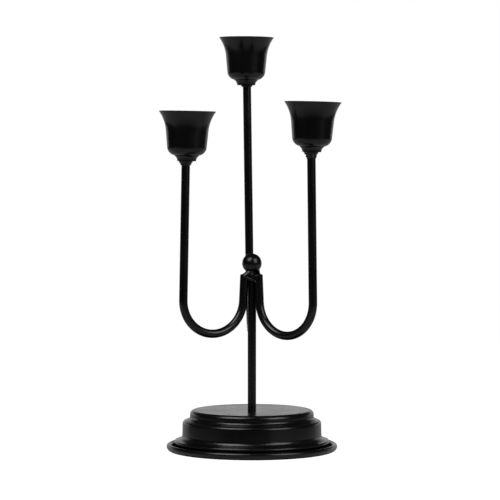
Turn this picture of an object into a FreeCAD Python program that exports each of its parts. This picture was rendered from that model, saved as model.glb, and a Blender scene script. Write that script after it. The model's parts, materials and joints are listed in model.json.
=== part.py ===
import FreeCAD, Part
import math
import os

V = FreeCAD.Vector
UP = V(0, 0, 1)
ORIGIN = V(0, 0, 0)

# Lengths are in millimetres and angles in degrees. The origin is on the stem's axis, on the surface that the
# base stands on. +Z is up, and the front of the candelabra faces -Y.

# Bar, sheet and fits
ROD_DIA = 6.0               # round bar of the stem and the arms
BASE_SHEET = 1.0            # sheet of the base cover and the base pan
CUP_SHEET = 0.9             # sheet of the candle cups
TENON_DIA = 4.0             # turned-down riser end through collar and cup
RIVET_DIA = 7.0             # tenon's end, hammered over inside the cup
RIVET_HEIGHT = 0.9
SPIGOT_DIA = 4.0            # turned-down stem end inside the ball
SPIGOT_LENGTH = 5.0
DRILL_RELIEF = 0.5          # ball's hole beyond the spigot
THREAD_DIA = 4.0            # threaded tail of the stem
THREAD_CLEARANCE = 0.4      # holes over the thread, on the diameter
LIP_CLEARANCE = 1.3         # cover's lip to the pan's rolled edge, on the radius
ARM_FIT = 0.05              # arm leg to stem before welding

# Base pan
BASE_DIA = 120.9
RIM_BEND_RADIUS = 3.25      # between the floor and the rim
ROLL_DIA = 3.6              # edge rolled inwards on top of the rim
ROLL_TURN = 200.0           # turn of the rolled edge, from upright
RECESS_DIA = 28.0           # dished centre of the pan that hides the nut
RECESS_TOP_DIA = 18.0
RECESS_HEIGHT = 8.0
RECESS_RADIUS = 1.5

# Base cover, from the top plate down to the hem that stands in the pan
BASE_HEIGHT = 28.8
TOP_EDGE_RADIUS = 2.9
TOP_STEP_HEIGHT = 5.8
COVE_RADIUS = 2.2           # between the top step and the ledge
LEDGE_WIDTH = 5.25
LEDGE_FALL = 2.2
SHOULDER_RADIUS = 2.0       # between the ledge and the lower step
LOW_STEP_DRAFT = 0.3        # widening of the lower step from top to bottom, on the radius
FLARE_RADIUS = 3.5          # between the lower step and the foot flare
FLARE_WIDTH = 6.15
FLARE_FALL = 1.3
LIP_RADIUS = 1.3            # at the edge of the foot flare
LIP_HEIGHT = 7.3
LIP_OVERHANG = 1.2          # lip beyond the hem under it
HEM_RADIUS = 1.5            # between the lip's underside and the hem
HEM_HEIGHT = 4.0
WALL_SHARE = 0.95           # most of a wall that the radii at its two ends may take

# Nuts and washers on the stem's tail
NUT_ACROSS_FLATS = 7.0
NUT_THICKNESS = 3.2
NUT_CHAMFER = 0.4
WASHER_DIA = 12.0
WASHER_THICKNESS = 1.0
TAIL_END = 0.8              # thread left beyond the lower nut

# Ball and hub
BALL_DIA = 13.9
BALL_HEIGHT = 132.7         # centre of the ball
HUB_HEIGHT = 1.6            # from the arms' cut ends up to the ball's seat
HUB_WELD_DIA = 16.0         # weld across the arm ends
HUB_NECK_DIA = 8.4          # weld against the ball
VALLEY_TOP_DIA = 13.6       # weld run down between the arms
VALLEY_LOW_DIA = 8.4
VALLEY_DEPTH = 5.6
SLIT_WIDTH = 3.2            # unwelded slit between each arm and the stem

# Arms
BEND_RADIUS = 23.8          # centreline of the bend
INNER_LEG_LEAN = 3.0        # inner leg away from the stem, towards its foot
REAR_AZIMUTH = 91.8         # direction of the rear arm about the stem, from +X
LEFT_SPREAD = 117.2         # turn from the rear arm to each front arm
RIGHT_SPREAD = 131.1
LEFT_BEND_DROP = 17.2       # centre of each bend below the arm's cut end
RIGHT_BEND_DROP = 18.3
REAR_BEND_DROP = 17.9
LEFT_RISER_LEAN = 1.2       # riser towards the stem
RIGHT_RISER_LEAN = 0.85
REAR_ROLL = -0.8            # whole rear arm sideways about its own direction

# Candle cups, collars and their weld beads
LEFT_RIM_HEIGHT = 239.6
RIGHT_RIM_HEIGHT = 245.9
REAR_RIM_HEIGHT = 294.6
LEFT_CUP_LEAN = 1.0         # cup towards +X
RIGHT_CUP_LEAN = 1.4
REAR_CUP_LEAN = 0.4
LEFT_CUP_SHIFT = 0.6        # cup off its riser's axis, towards +X
RIGHT_CUP_SHIFT = 0.3
REAR_CUP_SHIFT = -0.55
CUP_HEIGHT = 30.9
RIM_DIA = 40.0
WAIST_DIA = 29.8            # where the flare runs into the tapered wall
WAIST_DROP = 13.5           # waist below the rim
FLOOR_DIA = 26.6            # tapered wall produced down to the floor
FLOOR_RADIUS = 6.5
COLLAR_HEIGHT = 3.8
COLLAR_TOP_DIA = 17.6
COLLAR_LOW_DIA = 13.2
LEFT_BEAD_HEIGHT = 3.2
RIGHT_BEAD_HEIGHT = 4.8
REAR_BEAD_HEIGHT = 1.0
BEAD_REACH = 2.5            # widest bead under a collar
WELD_EDGE = 0.25            # thin edge where a weld runs out

# Sizes that follow
ROD_R = ROD_DIA / 2
HOLE_DIA = THREAD_DIA + THREAD_CLEARANCE
BALL_R = BALL_DIA / 2
STEM_TOP = BALL_HEIGHT - math.sqrt(BALL_R ** 2 - ROD_R ** 2)
ARM_TOP = STEM_TOP - HUB_HEIGHT
RIM_R = BASE_DIA / 2
ROLL_R = ROLL_DIA / 2
LIP_R = RIM_R - ROLL_DIA - LIP_CLEARANCE
FOOT_TO_RIM = COLLAR_HEIGHT + CUP_HEIGHT
TRIM_SIZE = 4 * ROD_DIA     # blocks that cut the bars' ends


def at(radius, height):
    """Point of a profile in the XZ plane."""
    return V(radius, 0, height)


def line(a, b):
    return Part.LineSegment(a, b).toShape()


def arc(a, middle, b):
    return Part.Arc(a, middle, b).toShape()


def tangent_arc(a, direction, b):
    """Arc from a to b that leaves a along the direction."""
    chord = b - a
    along = V(chord).normalize()
    aside = direction - along * direction.dot(along)
    angle = math.acos(V(direction).normalize().dot(along))
    rise = chord.Length / 2 * math.tan(angle / 2)
    return arc(a, a + chord * 0.5 + aside.normalize() * rise, b)


def rounded(corners):
    """Edges through profile corners (radius, height, corner radius); the two ends stay sharp."""
    points = [at(c[0], c[1]) for c in corners]
    walls = [b - a for a, b in zip(points, points[1:])]
    cuts = [corner[2] * math.tan(a.getAngle(b) / 2) for a, b, corner in zip(walls, walls[1:], corners[1:])]
    cuts = [0] + cuts + [0]
    edges = []
    last = points[0]
    for i in range(1, len(points) - 1):
        room = min(walls[i - 1].Length / (cuts[i - 1] + cuts[i]), walls[i].Length / (cuts[i] + cuts[i + 1]))
        cut = cuts[i] * min(1, WALL_SHARE * room)
        along = V(walls[i - 1]).normalize()
        begin = points[i] - along * cut
        end = points[i] + V(walls[i]).normalize() * cut
        edges.append(line(last, begin))
        edges.append(tangent_arc(begin, along, end))
        last = end
    edges.append(line(last, points[-1]))
    return edges


def turned(edges):
    """Solid of revolution about Z from a closed profile."""
    return Part.Face(Part.Wire(edges)).revolve(ORIGIN, UP, 360)


def spun(edges, sheet):
    """Sheet of revolution about Z: the open profile thickened to its left, or to its right if negative."""
    return Part.Wire(edges).makeOffset2D(sheet, 0, True, True).revolve(ORIGIN, UP, 360)


def loop(points):
    """Closed straight-sided profile from (radius, height) pairs."""
    ends = [at(*p) for p in points]
    return [line(a, b) for a, b in zip(ends, ends[1:] + ends[:1])]


def above(point):
    """Block that fills the space from a point upwards, to trim a bar's end."""
    return Part.makeBox(TRIM_SIZE, TRIM_SIZE, TRIM_SIZE, point - V(TRIM_SIZE / 2, TRIM_SIZE / 2, 0))


def base_cover():
    cove_height = BASE_HEIGHT - TOP_STEP_HEIGHT
    hem_r = LIP_R - LIP_OVERHANG
    flare_r = LIP_R - FLARE_WIDTH
    low_r = flare_r - LOW_STEP_DRAFT
    top_r = low_r - LEDGE_WIDTH
    return spun(rounded([
        (HOLE_DIA / 2, BASE_HEIGHT, 0),
        (top_r, BASE_HEIGHT, TOP_EDGE_RADIUS),
        (top_r, cove_height, COVE_RADIUS),
        (low_r, cove_height - LEDGE_FALL, SHOULDER_RADIUS),
        (flare_r, LIP_HEIGHT + FLARE_FALL, FLARE_RADIUS),
        (LIP_R, LIP_HEIGHT, LIP_RADIUS),
        (hem_r, HEM_HEIGHT, HEM_RADIUS),
        (hem_r, BASE_SHEET, 0),
    ]), -BASE_SHEET)


def base_pan():
    """Pan with a dished centre and a bent-up rim, its edge rolled inwards."""
    floor_r = RIM_R - RIM_BEND_RADIUS
    floor = rounded([
        (HOLE_DIA / 2, RECESS_HEIGHT, 0),
        (RECESS_TOP_DIA / 2, RECESS_HEIGHT, RECESS_RADIUS),
        (RECESS_DIA / 2, 0, RECESS_RADIUS),
        (floor_r, 0, 0),
    ])
    turn = math.radians(ROLL_TURN)

    def roll(angle):
        return at(RIM_R - ROLL_R + ROLL_R * math.cos(angle), RIM_BEND_RADIUS + ROLL_R * math.sin(angle))
    bend = tangent_arc(at(floor_r, 0), V(1, 0, 0), roll(0))
    curl = arc(roll(0), roll(turn / 2), roll(turn))
    return spun(floor + [bend, curl], BASE_SHEET)


def stem():
    tail = RECESS_HEIGHT - WASHER_THICKNESS - NUT_THICKNESS - TAIL_END
    return turned(loop([
        (0, tail),
        (THREAD_DIA / 2, tail),
        (THREAD_DIA / 2, BASE_HEIGHT),
        (ROD_R, BASE_HEIGHT),
        (ROD_R, STEM_TOP),
        (SPIGOT_DIA / 2, STEM_TOP),
        (SPIGOT_DIA / 2, STEM_TOP + SPIGOT_LENGTH),
        (0, STEM_TOP + SPIGOT_LENGTH),
    ]))


def washer(top):
    """Plain washer on the stem's tail, its upper face at the given height."""
    low = top - WASHER_THICKNESS
    hole_r = HOLE_DIA / 2
    outer_r = WASHER_DIA / 2
    return turned(loop([(hole_r, low), (outer_r, low), (outer_r, top), (hole_r, top)]))


def nut(top):
    """Hexagon nut on the stem's tail, its upper face at the given height."""
    low = top - NUT_THICKNESS
    corner = NUT_ACROSS_FLATS / math.sqrt(3)
    sixths = [math.radians(60 * i) for i in range(6)]
    ring = [V(corner * math.cos(a), corner * math.sin(a), low) for a in sixths]
    prism = Part.Face(Part.makePolygon(ring + ring[:1])).extrude(UP * NUT_THICKNESS)
    rounding = turned(loop([
        (THREAD_DIA / 2, low),
        (corner - NUT_CHAMFER, low),
        (corner, low + NUT_CHAMFER),
        (corner, top - NUT_CHAMFER),
        (corner - NUT_CHAMFER, top),
        (THREAD_DIA / 2, top),
    ]))
    return prism.common(rounding)


def ball_finial():
    """Ball with a flat seat on the stem and a blind hole for its spigot."""
    ball = Part.makeSphere(BALL_R, V(0, 0, BALL_HEIGHT))
    below = Part.makeCylinder(BALL_R, BALL_R, V(0, 0, STEM_TOP - BALL_R))
    hole = Part.makeCylinder(SPIGOT_DIA / 2, SPIGOT_LENGTH + DRILL_RELIEF, V(0, 0, STEM_TOP))
    return ball.cut(below).cut(hole)


class Arm:
    """Where one arm runs: its bent centreline, and the frames of its riser's end and of its cup."""

    def __init__(self, azimuth, bend_drop, rim_height, cup_lean, cup_shift, bead_height, riser_lean=0, roll=0):
        self.bead_height = bead_height
        self.spin = FreeCAD.Rotation(UP, azimuth)
        self.roll = FreeCAD.Rotation(self.spin.multVec(V(1, 0, 0)), roll)
        inner = math.radians(INNER_LEG_LEAN)
        outer = math.radians(riser_lean)
        bend_height = ARM_TOP - bend_drop
        leg = (bend_drop + BEND_RADIUS * math.sin(inner)) / math.cos(inner)
        middle = ROD_DIA + ARM_FIT + BEND_RADIUS * math.cos(inner) + leg * math.sin(inner)

        def bend(angle):
            out = middle + BEND_RADIUS * math.cos(angle)
            return self.place(out, bend_height + BEND_RADIUS * math.sin(angle))
        self.top = self.place(ROD_DIA + ARM_FIT, ARM_TOP)
        self.start = bend(math.pi + inner)
        self.half = bend((3 * math.pi + inner + outer) / 2)
        self.end = bend(2 * math.pi + outer)
        self.riser = self.turn(V(-math.sin(outer), 0, math.cos(outer)))
        lean = FreeCAD.Rotation(V(0, 1, 0), cup_lean)
        foot_height = rim_height - FOOT_TO_RIM * math.cos(math.radians(cup_lean))
        self.foot = self.end + self.riser * ((foot_height - self.end.z) / self.riser.z)
        self.tenon_frame = FreeCAD.Placement(self.foot, lean)
        self.cup_frame = FreeCAD.Placement(self.foot + lean.multVec(V(cup_shift, 0, 0)), lean)
        self.riser_frame = FreeCAD.Placement(self.foot, FreeCAD.Rotation(UP, self.riser))

    def turn(self, vector):
        return self.roll.multVec(self.spin.multVec(vector))

    def place(self, out, height):
        """Point of the arm's own plane: distance from the stem's axis, and height."""
        return self.turn(V(out, 0, height - ARM_TOP)) + V(0, 0, ARM_TOP)

    def above_foot(self):
        """Block that fills the space from the collar's underside upwards."""
        block = above(ORIGIN)
        block.Placement = self.tenon_frame
        return block

    def bored(self, shape):
        """Collar or cup, put in place and bored for the riser's tenon."""
        shape.Placement = self.cup_frame
        hole = Part.makeCylinder(TENON_DIA / 2, 2 * FOOT_TO_RIM, V(0, 0, -FOOT_TO_RIM))
        hole.Placement = self.tenon_frame
        return shape.cut(hole)


def tenon(arm):
    """Riser's turned-down end, with the head that is hammered over on the cup's floor."""
    shank_r = TENON_DIA / 2
    floor = COLLAR_HEIGHT + CUP_SHEET
    crown = at(0, floor + RIVET_HEIGHT)
    brim = at(RIVET_DIA / 2, floor)
    shape = turned([
        line(ORIGIN, crown),
        tangent_arc(crown, V(1, 0, 0), brim),
        line(brim, at(shank_r, floor)),
        line(at(shank_r, floor), at(shank_r, 0)),
        line(at(shank_r, 0), ORIGIN),
    ])
    shape.Placement = arm.tenon_frame
    return shape


def arm_bar(arm):
    """Bent bar with its inner leg cut level and its riser cut, turned down and riveted for the cup."""
    down = (arm.start - arm.top).normalize()
    high = arm.top - down * ROD_DIA
    path = Part.Wire([
        line(high, arm.start),
        arc(arm.start, arm.half, arm.end),
        line(arm.end, arm.foot + arm.riser * ROD_DIA),
    ])
    section = Part.Wire(Part.makeCircle(ROD_R, high, down))
    bar = path.makePipeShell([section], True, False)
    return bar.cut(above(arm.top)).cut(arm.above_foot()).fuse(tenon(arm))


def collar(arm):
    low = at(COLLAR_LOW_DIA / 2, 0)
    high = at(COLLAR_TOP_DIA / 2, COLLAR_HEIGHT)
    middle = at(0, COLLAR_HEIGHT)
    return arm.bored(turned([
        line(ORIGIN, low),
        tangent_arc(low, UP, high),
        line(high, middle),
        line(middle, ORIGIN),
    ]))


def cup(arm):
    """Bell-shaped cup: floor, tapered wall and flared mouth, trimmed level at the rim."""
    waist = at(WAIST_DIA / 2, FOOT_TO_RIM - WAIST_DROP)
    rim = at(RIM_DIA / 2, FOOT_TO_RIM)
    wall = rounded([
        (0, COLLAR_HEIGHT, 0),
        (FLOOR_DIA / 2, COLLAR_HEIGHT, FLOOR_RADIUS),
        (waist.x, waist.z, 0),
    ])
    rise = waist - at(FLOOR_DIA / 2, COLLAR_HEIGHT)
    bell = spun(wall + [tangent_arc(waist, rise.normalize(), rim)], CUP_SHEET)
    trim = Part.makeCylinder(RIM_DIA, RIM_DIA, V(0, 0, FOOT_TO_RIM))
    return arm.bored(bell.cut(trim))


def cup_bead(arm):
    """Weld bead round the riser, against the collar's underside."""
    low = -arm.bead_height
    reach = ROD_R + min(arm.bead_height, BEAD_REACH)
    tip = at(ROD_R + WELD_EDGE, low)
    edges = [
        line(at(ROD_R, low), tip),
        tangent_arc(tip, UP, at(reach, 0)),
        line(at(reach, 0), at(reach, ROD_R)),
        line(at(reach, ROD_R), at(ROD_R, ROD_R)),
        line(at(ROD_R, ROD_R), at(ROD_R, low)),
    ]
    bead = turned(edges)
    bead.Placement = arm.riser_frame
    return bead.cut(arm.above_foot())


def hub_weld(arms, bars):
    """Weld across the arm ends, up to the ball, and a little way down between the arms."""
    neck_r = HUB_NECK_DIA / 2
    neck = at(neck_r, BALL_HEIGHT - math.sqrt(BALL_R ** 2 - neck_r ** 2))
    seat = at(ROD_R, STEM_TOP)
    between = (neck + seat) * 0.5 - at(0, BALL_HEIGHT)
    on_ball = at(0, BALL_HEIGHT) + between.normalize() * BALL_R
    edge = at(HUB_WELD_DIA / 2, ARM_TOP)
    crest = edge + UP * WELD_EDGE
    low = ARM_TOP - VALLEY_DEPTH
    cap = turned([
        line(at(ROD_R, ARM_TOP), edge),
        line(edge, crest),
        tangent_arc(crest, V(-1, 0, 0), neck),
        arc(neck, on_ball, seat),
        line(seat, at(ROD_R, ARM_TOP)),
    ])
    valley = turned(loop([
        (ROD_R, low),
        (VALLEY_LOW_DIA / 2, low),
        (VALLEY_TOP_DIA / 2, ARM_TOP),
        (ROD_R, ARM_TOP),
    ]))
    for arm, bar in zip(arms, bars):
        slit = Part.makeBox(2 * ROD_DIA, SLIT_WIDTH, VALLEY_DEPTH, V(0, -SLIT_WIDTH / 2, low))
        slit.Placement = FreeCAD.Placement(ORIGIN, arm.spin)
        valley = valley.cut(bar).cut(slit)
    return cap.fuse(valley).removeSplitter()


ARMS = {
    "left": Arm(REAR_AZIMUTH + LEFT_SPREAD, LEFT_BEND_DROP, LEFT_RIM_HEIGHT, LEFT_CUP_LEAN, LEFT_CUP_SHIFT,
                LEFT_BEAD_HEIGHT, riser_lean=LEFT_RISER_LEAN),
    "right": Arm(REAR_AZIMUTH - RIGHT_SPREAD, RIGHT_BEND_DROP, RIGHT_RIM_HEIGHT, RIGHT_CUP_LEAN, RIGHT_CUP_SHIFT,
                 RIGHT_BEAD_HEIGHT, riser_lean=RIGHT_RISER_LEAN),
    "rear": Arm(REAR_AZIMUTH, REAR_BEND_DROP, REAR_RIM_HEIGHT, REAR_CUP_LEAN, REAR_CUP_SHIFT,
                REAR_BEAD_HEIGHT, roll=REAR_ROLL),
}

nodes = {
    "base_cover": base_cover(),
    "base_pan": base_pan(),
    "stem": stem(),
    "cover_washer": washer(BASE_HEIGHT - BASE_SHEET),
    "cover_nut": nut(BASE_HEIGHT - BASE_SHEET - WASHER_THICKNESS),
    "pan_washer": washer(RECESS_HEIGHT),
    "pan_nut": nut(RECESS_HEIGHT - WASHER_THICKNESS),
    "ball_finial": ball_finial(),
}
for side, arm in ARMS.items():
    nodes[side + "_arm"] = arm_bar(arm)
    nodes[side + "_collar"] = collar(arm)
    nodes[side + "_cup"] = cup(arm)
    nodes[side + "_cup_weld"] = cup_bead(arm)
nodes["hub_weld"] = hub_weld(ARMS.values(), [nodes[side + "_arm"] for side in ARMS])

os.makedirs("parts", exist_ok=True)
for name, shape in nodes.items():
    shape.exportStep("parts/" + name + ".step")
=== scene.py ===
import json
import math
import random

import bmesh
import bpy
from mathutils import Matrix, Vector


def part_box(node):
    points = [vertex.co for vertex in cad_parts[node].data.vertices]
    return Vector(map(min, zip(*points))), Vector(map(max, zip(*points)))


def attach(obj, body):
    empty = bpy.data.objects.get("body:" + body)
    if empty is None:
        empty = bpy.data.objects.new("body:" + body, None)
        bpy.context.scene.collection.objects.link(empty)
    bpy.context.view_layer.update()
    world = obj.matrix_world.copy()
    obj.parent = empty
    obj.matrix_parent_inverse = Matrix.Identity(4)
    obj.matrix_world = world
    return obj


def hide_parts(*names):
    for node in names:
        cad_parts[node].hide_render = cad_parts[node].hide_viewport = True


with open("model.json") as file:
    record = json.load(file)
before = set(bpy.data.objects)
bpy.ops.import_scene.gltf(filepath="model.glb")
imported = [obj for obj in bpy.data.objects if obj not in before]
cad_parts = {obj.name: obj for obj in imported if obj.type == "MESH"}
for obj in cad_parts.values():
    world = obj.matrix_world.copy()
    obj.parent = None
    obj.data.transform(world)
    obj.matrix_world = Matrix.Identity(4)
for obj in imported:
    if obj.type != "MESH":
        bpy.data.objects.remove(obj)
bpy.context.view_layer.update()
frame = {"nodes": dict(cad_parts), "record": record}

# Lengths are in metres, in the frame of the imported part: +Z up, origin on the stem's axis, front towards -Y.
hub = Vector((0, 0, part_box("ball_finial")[0].z))        # the ball's lowest point, where the arms meet

# The photograph's camera, with picture places in pixels of its 500 x 500 frame
PICTURE_SIDE = 500
FOCAL_PIXELS = 2407.0
HORIZON_ROW = 156.8
STEM_COLUMN = 251.9
CAMERA_DISTANCE = 1.700
CAMERA_HEIGHT = 0.2079
SENSOR = 36.0               # millimetres, as Blender counts lenses

# White floor that curves up into a wall
FLOOR_DEPTH = -0.0001       # just under the rim, so that no two faces share a plane
SWEEP_RADIUS = 6.0
SWEEP_CURVE = 2.0           # radius of the curve, and height of the straight wall above it
SWEEP_WHITE = 0.15
SWEEP_GLOW = 1.0
SWEEP_JOIN = 0.00001        # points of the sweep that lie this close are one
CAMERA_REACH = 4 * SWEEP_RADIUS
CURVE_STEPS = 8
ROUND_STEPS = 64

# Two soft boxes, by their direction from the hub, and the dim room
LIGHT_DISTANCE = 1.1
LEFT_LIGHT = Vector((-0.448, -0.447, 0.763))
LEFT_LIGHT_SIZE = (0.75, 0.75)
LEFT_LIGHT_WATTS = 7.2
RIGHT_LIGHT = Vector((0.656, -0.546, 0.521))
RIGHT_LIGHT_SIZE = (0.65, 0.70)
RIGHT_LIGHT_WATTS = 4.6
ROOM_GREY = 0.03

# White wall behind, as the top plate mirrors it
PANEL_GLOW = 0.70
PANEL_DISTANCE = 1.5
PANEL_WIDTH = 4.0
PANEL_HEIGHT = 0.5

# White table around the foot, as the undersides mirror it
TABLE_GLOW = 0.36
TABLE_FRONT = -0.7
TABLE_BACK = 1.5
TABLE_WIDTH = 1.6
TABLE_DEPTH = 2 * FLOOR_DEPTH
TABLE_FADE = (TABLE_FRONT, -0.2)    # from nothing to the full glow, along Y

# Table in the base's own shade, dark in reflections
SHADE_SHARE = 0.985                 # of the base's reach
SHADE_DEPTH = 1.5 * FLOOR_DEPTH     # between the floor and the table

# Low dark screen round the foot: painted shade on the table, as the base's upright walls mirror it, with a
# painted glow per side
SCREEN_CORNERS = [(-0.16, 0.08), (-0.16, -0.12), (0.055, -0.12), (0.16, -0.12), (0.16, 0.08)]
SCREEN_GLOWS = [0.06, 0.055, 0.24, 0.13]
SCREEN_HEIGHT = 0.016

# Pale wall under the right light, as a soft streak down cups and bars
RIGHT_GLOW = 0.13
RIGHT_ENDS = ((0.693, -0.754), (0.945, -0.394))
RIGHT_HEIGHTS = (0.05, 0.28)

# Satin black coat and bright zinc
COAT_DARK = (0.0016, 0.0016, 0.0017, 1.0)
COAT_LIGHT = (0.0030, 0.0030, 0.0032, 1.0)
COAT_EDGE = (0.0080, 0.0080, 0.0084, 1.0)
COAT_ROUGHNESS = (0.20, 0.28)
COAT_WEAR = (0.2, 1.0)      # along the edges, from speck to speck
CLOUD_SHARE = 0.6           # of the uneven gloss; the specks have the rest
CLOUD_SIZE = 0.025
SPECK_SIZE = 0.0025
PEEL_SIZE = 0.0007          # ripple of the sprayed coat
PEEL_HEIGHT = 0.000008
PEEL_DETAIL = 1.0
NOISE_DETAIL = 3.0
NOISE_SPREAD = (0.35, 0.65)     # where most values of a noise lie
EDGE_REACH = 0.0006
EDGE_SAMPLES = 6
EDGE_TURN = (0.80, 0.98)        # cosine between the rounded and the true normal, at an edge and away from it
ZINC_DARK = (0.42, 0.43, 0.44, 1.0)
ZINC_LIGHT = (0.62, 0.63, 0.65, 1.0)
ZINC_ROUGHNESS = (0.22, 0.45)
ZINC_EDGE = 0.5             # share of the light tone along the edges
ZINC_MARKS = 0.6            # strength of the turning marks

# Hand-laid welds: each run is a bead size and the points that it was laid along, in millimetres
MILLIMETRE = 0.001
WELD_SEED = 7
WELD_STEP = 0.4             # from one drop to the next, in bead sizes
WELD_UNEVEN = 0.06          # of a drop's size and place, in millimetres
WELD_VOXEL = 0.0002
WELD_MELT = 4               # how often the drops are smoothed into each other
DROP_DETAIL = 2             # subdivisions of the smallest drops; each whole millimetre of size adds one
HUB_RUNS = [                # from the hub
    # over the end of the left, right and rear arm
    (1.2, [(-5.2, -5.0, -2.6), (-1.8, -4.1, 0.2)]),
    (1.2, [(-5.0, -5.2, -2.9), (-1.6, -4.3, -0.1)]),
    (1.2, [(-5.4, -4.8, -2.3), (-2.0, -3.9, 0.5)]),
    (1.2, [(-5.1, -4.1, -3.0), (-0.9, -3.5, 0.1)]),
    (1.2, [(-5.4, -3.8, -2.7), (-1.1, -3.2, 0.5)]),
    (1.2, [(-5.6, -3.6, -2.4), (-1.3, -3.0, 0.8)]),
    (1.2, [(-5.8, -3.3, -2.1), (-1.6, -2.7, 1.1)]),
    (0.8, [(-7.0, -1.4, -2.2), (-5.8, -1.2, -1.7), (-4.4, -0.9, -1.0), (-3.6, -0.6, -0.1)]),
    (0.8, [(6.8, -3.4, -2.2), (5.6, -2.2, -1.6), (4.4, -0.8, -0.9)]),
    (0.8, [(5.8, -1.4, -2.2), (4.9, -0.6, -1.2), (4.2, 0.4, -0.4)]),
    (0.7, [(2.2, -3.6, -3.2), (1.6, -5.0, -2.5), (3.0, -5.8, -2.5), (4.6, -6.0, -2.3), (6.2, -5.6, -2.5)]),
    (1.1, [(-0.2, 3.8, 0.1), (-0.2, 5.0, -0.8), (-0.2, 6.8, -1.6), (-0.2, 7.8, -1.9)]),
    (1.0, [(1.8, 3.4, 0.0), (2.0, 5.0, -1.2), (1.8, 6.6, -1.8)]),
    (1.0, [(-2.2, 3.2, 0.0), (-2.2, 5.0, -1.2), (-2.0, 6.6, -1.8)]),
    # round the ball's seat, open to the right of the front
    (0.7, [(0.7, -3.9, 1.1), (0.5, -3.7, 0.4)]),
    (1.6, [(-0.8, -3.2, -1.4), (-0.4, -3.2, -1.4)]),
    (0.8, [
        (-1.0, -3.4, 0.2), (-2.8, -2.4, 0.1), (-3.4, 0.4, 0.0),
        (-2.7, 2.6, 0.2), (0.2, 3.9, 0.2), (3.0, 2.6, 0.2),
    ]),
    (1.0, [(3.8, 2.2, 0.4), (4.6, 0.8, 1.5), (4.6, 0.3, 0.4), (4.8, -0.4, -0.6)]),
    (1.2, [(2.4, 2.0, 0.2), (3.6, 1.4, 0.4), (3.4, 0.9, -1.0)]),
    # in front, from the left arm down to the right one
    (1.2, [(-2.6, -2.6, -2.8), (0.0, -2.6, -3.2), (2.4, -3.0, -3.6)]),
    (0.8, [(-3.4, -5.0, -3.8), (-1.6, -4.6, -4.2), (0.2, -4.4, -4.9), (2.0, -4.9, -5.9), (3.5, -5.8, -7.3)]),
    (0.8, [(-3.0, -4.4, -4.7), (-1.4, -4.2, -5.1), (0.6, -4.2, -5.7), (2.4, -4.6, -6.9)]),
    # behind, from each front arm to the rear one
    (1.3, [(-5.2, 0.6, -2.4), (-4.6, 2.4, -3.0), (-3.2, 4.2, -2.6)]),
    (1.2, [(-4.6, 0.8, -4.6), (-3.9, 2.3, -5.2), (-2.9, 3.9, -4.7)]),
    (1.3, [(5.8, -0.4, -2.6), (5.0, 2.2, -3.0), (3.0, 4.4, -2.5)]),
    (1.2, [(5.0, -0.4, -4.8), (4.2, 2.0, -5.3), (2.7, 4.1, -4.8)]),
]
CUP_RINGS = [(0.6, 1.1, 0.25), (0.5, 0.5, 0.65)]    # bead size, reach off the riser, share of the way down
RING_STEPS = 12
BEAD_JOIN = 0.0000001       # points of a packed bead that lie this close are one


class Shader:
    """A material's nodes around its principled shader, with short ways to add to them."""

    def __init__(self, name):
        self.material = bpy.data.materials.new(name)
        self.material.use_nodes = True
        self.tree = self.material.node_tree
        self.bsdf = self.tree.nodes["Principled BSDF"]
        self.place = self.add("TexCoord").outputs["Object"]

    def add(self, kind, settings=(), **inputs):
        """New node; settings are its properties, inputs its values or links by socket name."""
        node = self.tree.nodes.new("ShaderNode" + kind)
        for key, value in dict(settings).items():
            setattr(node, key, value)
        for key, value in inputs.items():
            self.feed(node.inputs[key.replace("_", " ")], value)
        return node

    def feed(self, socket, value):
        """Link a socket to another one, or set it to a plain value."""
        if isinstance(value, bpy.types.NodeSocket):
            self.tree.links.new(value, socket)
        else:
            socket.default_value = value

    def noise(self, size, detail=NOISE_DETAIL):
        return self.add("TexNoise", Vector=self.place, Scale=1 / size, Detail=detail).outputs["Fac"]

    def between(self, value, low, high, spread=NOISE_SPREAD):
        """What goes from low to high as the value goes over its spread."""
        first, last = spread
        node = self.add("MapRange", Value=value, From_Min=first, From_Max=last, To_Min=low, To_Max=high)
        return node.outputs["Result"]

    def maths(self, operation, a, b):
        node = self.add("Math", {"operation": operation})
        self.feed(node.inputs[0], a)
        self.feed(node.inputs[1], b)
        return node.outputs["Value"]

    def blend(self, share, first, second):
        """Mix of two colours; the node has sockets of other types before those for colours."""
        node = self.add("Mix", {"data_type": "RGBA"})
        self.feed(node.inputs["Factor"], share)
        self.feed(node.inputs[6], first)
        self.feed(node.inputs[7], second)
        return node.outputs[2]

    def edges(self):
        """One along edges and nothing elsewhere, by how far a rounded normal turns; and that normal."""
        true = self.add("NewGeometry").outputs["Normal"]
        soft = self.add("Bevel", {"samples": EDGE_SAMPLES}, Radius=EDGE_REACH).outputs["Normal"]
        turn = self.add("VectorMath", {"operation": "DOT_PRODUCT"})
        self.feed(turn.inputs[0], true)
        self.feed(turn.inputs[1], soft)
        return self.between(turn.outputs["Value"], 1.0, 0.0, EDGE_TURN), soft


def black_coat(name):
    """Satin black powder coat: a little uneven in tone and gloss, rippled, thinner along the edges."""
    s = Shader(name)
    cloud = s.noise(CLOUD_SIZE)
    speck = s.noise(SPECK_SIZE)
    peel = s.noise(PEEL_SIZE, PEEL_DETAIL)
    edge, soft = s.edges()
    worn = s.maths("MULTIPLY", edge, s.between(speck, *COAT_WEAR))
    tone = s.blend(s.between(cloud, 0.0, 1.0), COAT_DARK, COAT_LIGHT)
    s.feed(s.bsdf.inputs["Base Color"], s.blend(worn, tone, COAT_EDGE))
    clouds = s.maths("MULTIPLY", cloud, CLOUD_SHARE)
    specks = s.maths("MULTIPLY", speck, 1 - CLOUD_SHARE)
    s.feed(s.bsdf.inputs["Roughness"], s.between(s.maths("ADD", clouds, specks), *COAT_ROUGHNESS))
    ripple = s.add("Bump", Strength=1.0, Distance=PEEL_HEIGHT, Height=peel, Normal=soft)
    s.feed(s.bsdf.inputs["Normal"], ripple.outputs["Normal"])
    return s.material


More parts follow.
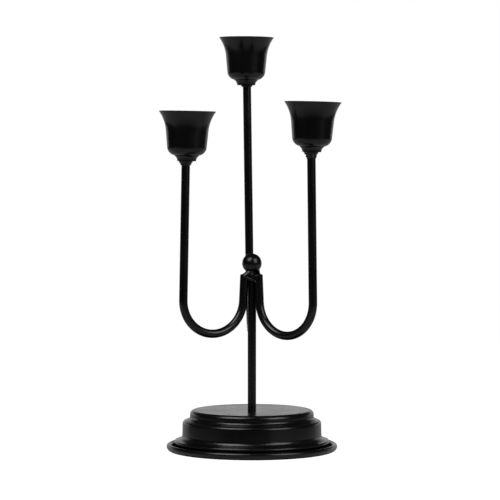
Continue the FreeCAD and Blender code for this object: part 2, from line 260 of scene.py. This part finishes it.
def bright_zinc(name):
    """Zinc plate on nuts and washers: bright metal with a patchy bloom and fine turning marks."""
    s = Shader(name)
    bloom = s.noise(SPECK_SIZE)
    fine = s.noise(PEEL_SIZE)
    edge, soft = s.edges()
    tone = s.blend(s.between(bloom, 0.0, 1.0), ZINC_DARK, ZINC_LIGHT)
    s.feed(s.bsdf.inputs["Base Color"], s.blend(s.maths("MULTIPLY", edge, ZINC_EDGE), tone, ZINC_LIGHT))
    s.feed(s.bsdf.inputs["Roughness"], s.between(bloom, *ZINC_ROUGHNESS))
    s.bsdf.inputs["Metallic"].default_value = 1.0
    marks = s.add("Bump", Strength=ZINC_MARKS, Distance=PEEL_HEIGHT, Height=fine, Normal=soft)
    s.feed(s.bsdf.inputs["Normal"], marks.outputs["Normal"])
    return s.material


def glowing(name, colour, glow, fade=None):
    """Matt surface that also gives off light, all over or fading out along Y."""
    s = Shader(name)
    s.bsdf.inputs["Base Color"].default_value = (colour, colour, colour, 1.0)
    s.bsdf.inputs["Roughness"].default_value = 1.0
    s.bsdf.inputs["Specular IOR Level"].default_value = 0.0
    s.bsdf.inputs["Emission Color"].default_value = (1.0, 1.0, 1.0, 1.0)
    if fade:
        depth = s.add("SeparateXYZ", Vector=s.place).outputs["Y"]
        glow = s.between(depth, 0.0, glow, fade)
    s.feed(s.bsdf.inputs["Emission Strength"], glow)
    return s.material


def ring(radius, height, steps):
    """Points round the Z axis, with the first one again at the end."""
    turns = [i / steps * 2 * math.pi for i in range(steps + 1)]
    return [(radius * math.cos(a), radius * math.sin(a), height) for a in turns]


def upright(start, end, low, high):
    """Corners of a card that stands along the line from start to end."""
    return [(*start, low), (*end, low), (*end, high), (*start, high)]


def add_object(name, data):
    """New object in the scene."""
    added = bpy.data.objects.new(name, data)
    bpy.context.scene.collection.objects.link(added)
    return added


def mesh_object(name, form, material):
    """Object from a bmesh, which is used up."""
    mesh = bpy.data.meshes.new(name)
    form.to_mesh(mesh)
    form.free()
    mesh.materials.append(material)
    return add_object(name, mesh)


def sweep():
    """Round floor that curves up into a wall, seen but not mirrored."""
    form = bmesh.new()
    flat = SWEEP_RADIUS - SWEEP_CURVE
    outline = [(0.0, 0.0), (flat, 0.0)]
    for step in range(1, CURVE_STEPS + 1):
        angle = step / CURVE_STEPS * math.pi / 2
        outline.append((flat + SWEEP_CURVE * math.sin(angle), SWEEP_CURVE - SWEEP_CURVE * math.cos(angle)))
    outline.append((SWEEP_RADIUS, 2 * SWEEP_CURVE))
    ends = [form.verts.new((out, 0.0, FLOOR_DEPTH + up)) for out, up in outline]
    edges = [form.edges.new(pair) for pair in zip(ends, ends[1:])]
    bmesh.ops.spin(
        form, geom=ends + edges, cent=(0, 0, 0), axis=(0, 0, 1), angle=2 * math.pi, steps=ROUND_STEPS)
    bmesh.ops.remove_doubles(form, verts=form.verts, dist=SWEEP_JOIN)
    piece = mesh_object("sweep", form, glowing("sweep_white", SWEEP_WHITE, SWEEP_GLOW))
    piece.data.polygons.foreach_set("use_smooth", [True] * len(piece.data.polygons))
    piece.visible_glossy = False
    piece.visible_diffuse = False


def mirror_card(name, corners, glow, fade=None):
    """Card that only shows in reflections."""
    form = bmesh.new()
    form.faces.new([form.verts.new(corner) for corner in corners])
    piece = mesh_object(name, form, glowing(name + "_glow", 0.0, glow, fade))
    piece.visible_camera = False
    piece.visible_diffuse = False
    piece.visible_shadow = False


def mirror_cards():
    """What the glossy coat mirrors besides the lights."""
    half = PANEL_WIDTH / 2
    wall = upright((-half, PANEL_DISTANCE), (half, PANEL_DISTANCE), 0.0, PANEL_HEIGHT)
    mirror_card("back_card", wall, PANEL_GLOW)
    half = TABLE_WIDTH / 2
    plan = [(-half, TABLE_FRONT), (half, TABLE_FRONT), (half, TABLE_BACK), (-half, TABLE_BACK)]
    mirror_card("table_card", [(*corner, TABLE_DEPTH) for corner in plan], TABLE_GLOW, TABLE_FADE)
    # dark cards of painted shade round the foot, each with its painted glow
    for i, glow in enumerate(SCREEN_GLOWS):
        side = upright(SCREEN_CORNERS[i], SCREEN_CORNERS[i + 1], TABLE_DEPTH, SCREEN_HEIGHT)
        mirror_card(f"screen_{i}", side, glow)
    mirror_card("right_card", upright(*RIGHT_ENDS, *RIGHT_HEIGHTS), RIGHT_GLOW)
    reach = SHADE_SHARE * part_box("base_pan")[1].x
    mirror_card("foot_shade", ring(reach, SHADE_DEPTH, ROUND_STEPS)[:-1], 0.0)


def soft_light(name, direction, size, watts):
    """Soft box that looks at the hub from a direction."""
    lamp = bpy.data.lights.new(name, "AREA")
    lamp.shape = "RECTANGLE"
    lamp.size, lamp.size_y = size
    lamp.energy = watts
    box = add_object(name, lamp)
    box.location = hub + direction.normalized() * LIGHT_DISTANCE
    box.rotation_euler = (-direction).to_track_quat("-Z", "Y").to_euler()


def studio():
    """Floor, cards, lights and the room around them."""
    sweep()
    mirror_cards()
    soft_light("left_light", LEFT_LIGHT, LEFT_LIGHT_SIZE, LEFT_LIGHT_WATTS)
    soft_light("right_light", RIGHT_LIGHT, RIGHT_LIGHT_SIZE, RIGHT_LIGHT_WATTS)
    world = bpy.data.worlds.new("room")
    world.use_nodes = True
    air = world.node_tree.nodes["Background"]
    air.inputs["Color"].default_value = (ROOM_GREY, ROOM_GREY, ROOM_GREY, 1.0)
    bpy.context.scene.world = world
    bpy.context.scene.view_settings.view_transform = "Standard"


def camera():
    """Camera that puts the stem and the horizon where the photograph has them."""
    lens = bpy.data.cameras.new("photo_camera")
    lens.sensor_width = SENSOR
    lens.lens = FOCAL_PIXELS * SENSOR / PICTURE_SIDE
    lens.clip_end = CAMERA_REACH
    eye = add_object("photo_camera", lens)
    eye.location = (0, -CAMERA_DISTANCE, CAMERA_HEIGHT)
    middle = PICTURE_SIDE / 2
    aim = Vector((middle - STEM_COLUMN, FOCAL_PIXELS, HORIZON_ROW - middle))
    eye.rotation_euler = aim.to_track_quat("-Z", "Y").to_euler()
    bpy.context.scene.camera = eye


def drops(runs, origin):
    """Places and sizes of the drops of weld along the runs."""
    chance = random.Random(WELD_SEED)
    for size, points in runs:
        for first, last in zip(map(Vector, points), map(Vector, points[1:])):
            count = math.ceil((last - first).length / (WELD_STEP * size))
            for i in range(count + 1):
                stray = Vector([chance.uniform(-1, 1) for axis in range(3)]) * WELD_UNEVEN
                grown = size + WELD_UNEVEN * chance.uniform(-1, 1)
                yield origin + (first.lerp(last, i / count) + stray) * MILLIMETRE, grown * MILLIMETRE


def drop_flakes(mesh):
    """Keep only the largest of a mesh's separate parts."""
    form = bmesh.new()
    form.from_mesh(mesh)
    loose = set(form.verts)
    largest = set()
    while loose:
        front = [loose.pop()]
        part = set(front)
        while front:
            vert = front.pop()
            near = {edge.other_vert(vert) for edge in vert.link_edges} & loose
            loose -= near
            part |= near
            front += near
        largest = max(largest, part, key=len)
    bmesh.ops.delete(form, geom=[vert for vert in form.verts if vert not in largest], context="VERTS")
    form.to_mesh(mesh)
    form.free()


def weld(node, laid, material, form):
    """Piece that stands for a weld's node: drops melted into each other, and into a form."""
    for place, size in laid:
        fine = DROP_DETAIL + int(size / MILLIMETRE)
        bmesh.ops.create_icosphere(form, subdivisions=fine, radius=size, matrix=Matrix.Translation(place))
    piece = mesh_object(node + "_laid", form, material)
    merge = piece.modifiers.new("merge", "REMESH")
    merge.mode = "VOXEL"
    merge.voxel_size = WELD_VOXEL
    merge.use_smooth_shade = True
    melt = piece.modifiers.new("melt", "SMOOTH")
    melt.iterations = WELD_MELT
    melted = bpy.data.meshes.new_from_object(piece.evaluated_get(bpy.context.evaluated_depsgraph_get()))
    piece.modifiers.clear()
    piece.data = melted
    drop_flakes(melted)
    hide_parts(node)
    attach(piece, "root")


def cup_weld(node, material):
    """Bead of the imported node, with drops in rings round the riser, which is as thick as the stem."""
    form = bmesh.new()
    form.from_mesh(frame["nodes"][node].data)
    bmesh.ops.remove_doubles(form, verts=form.verts, dist=BEAD_JOIN)
    low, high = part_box(node)
    top = Vector(((low.x + high.x) / 2, (low.y + high.y) / 2, high.z))
    tall = (high.z - low.z) / MILLIMETRE
    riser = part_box("stem")[1].x / MILLIMETRE
    runs = []
    for size, reach, down in CUP_RINGS:
        out = riser + min(reach, tall / 2)
        runs.append((min(size, tall / 2), ring(out, -down * tall, RING_STEPS)))
    weld(node, drops(runs, top), material, form)


def finish_nodes():
    """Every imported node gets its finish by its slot, and laid welds stand for the smooth ones."""
    finishes = {"black_paint": black_coat("black_coat"), "zinc_steel": bright_zinc("bright_zinc")}
    slots = {row["node"]: row["material_slot"] for row in frame["record"]["subparts"]}
    for name, node in frame["nodes"].items():
        for place in node.material_slots:
            place.material = finishes[slots[name]]
    black = finishes["black_paint"]
    weld("hub_weld", drops(HUB_RUNS, hub), black, bmesh.new())
    for side in ("left", "right", "rear"):
        cup_weld(side + "_cup_weld", black)


finish_nodes()
studio()
camera()
